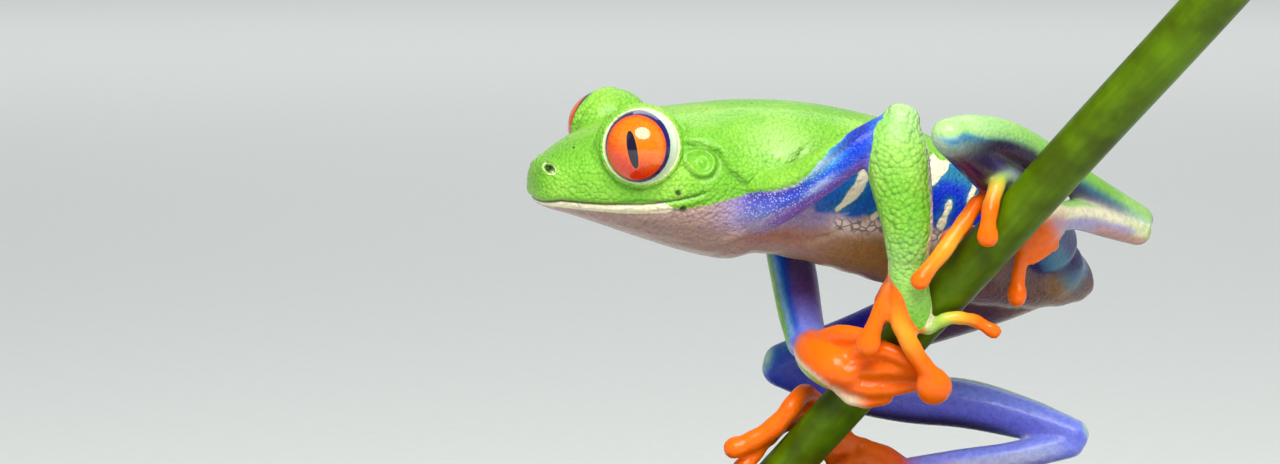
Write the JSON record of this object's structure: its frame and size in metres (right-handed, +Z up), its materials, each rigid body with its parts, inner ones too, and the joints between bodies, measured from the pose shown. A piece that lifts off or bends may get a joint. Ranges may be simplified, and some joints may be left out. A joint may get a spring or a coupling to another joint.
{
  "type": "red-eyed tree frog",
  "caption": "Life-size still tree frog that grips a slanting cut stem with all its hands and feet, on a round display base with a bent rod.",
  "frame": {"origin": "centre of the stand base's underside, on the surface that it stands on", "axes": "-X the way the frog's head points, seen from its left side; -Y the frog's left side; +Z up"},
  "size_m": [0.09, 0.09, 0.0833],
  "materials": {
    "leaf_green_skin": "moist fine-grained skin, satin gloss",
    "violet_blue_skin": "moist smooth skin, satin gloss",
    "orange_skin": "moist smooth skin, glossy",
    "red_eye": "wet polished eye",
    "stem_bark": "smooth green plant stem, satin",
    "satin_black_enamel": "satin enamel on steel",
    "brushed_steel": "brushed along its length"
  },
  "bodies": {
    "root": {"stand_base": "satin_black_enamel", "stand_rod": "brushed_steel", "perch_stem": "stem_bark", "left_eye": "red_eye", "right_eye": "red_eye", "head": "leaf_green_skin", "trunk": "leaf_green_skin", "left_upper_arm": "violet_blue_skin", "left_forearm": "leaf_green_skin", "left_hand": "orange_skin", "right_upper_arm": "violet_blue_skin", "right_forearm": "violet_blue_skin", "right_hand": "orange_skin", "left_thigh": "violet_blue_skin", "left_shank": "leaf_green_skin", "left_tarsus": "leaf_green_skin", "left_foot": "orange_skin", "right_thigh": "violet_blue_skin", "right_shank": "violet_blue_skin", "right_tarsus": "violet_blue_skin", "right_foot": "orange_skin", "left_finger_1": "orange_skin", "left_finger_2": "orange_skin", "left_finger_3": "orange_skin", "left_finger_4": "orange_skin", "right_finger_1": "orange_skin", "right_finger_2": "orange_skin", "right_finger_3": "orange_skin", "right_finger_4": "orange_skin", "left_toe_1": "orange_skin", "left_toe_2": "orange_skin", "left_toe_3": "orange_skin", "left_toe_4": "orange_skin", "left_toe_5": "orange_skin", "right_toe_1": "orange_skin", "right_toe_2": "orange_skin", "right_toe_3": "orange_skin", "right_toe_4": "orange_skin", "right_toe_5": "orange_skin"}
  },
  "joints": []
}
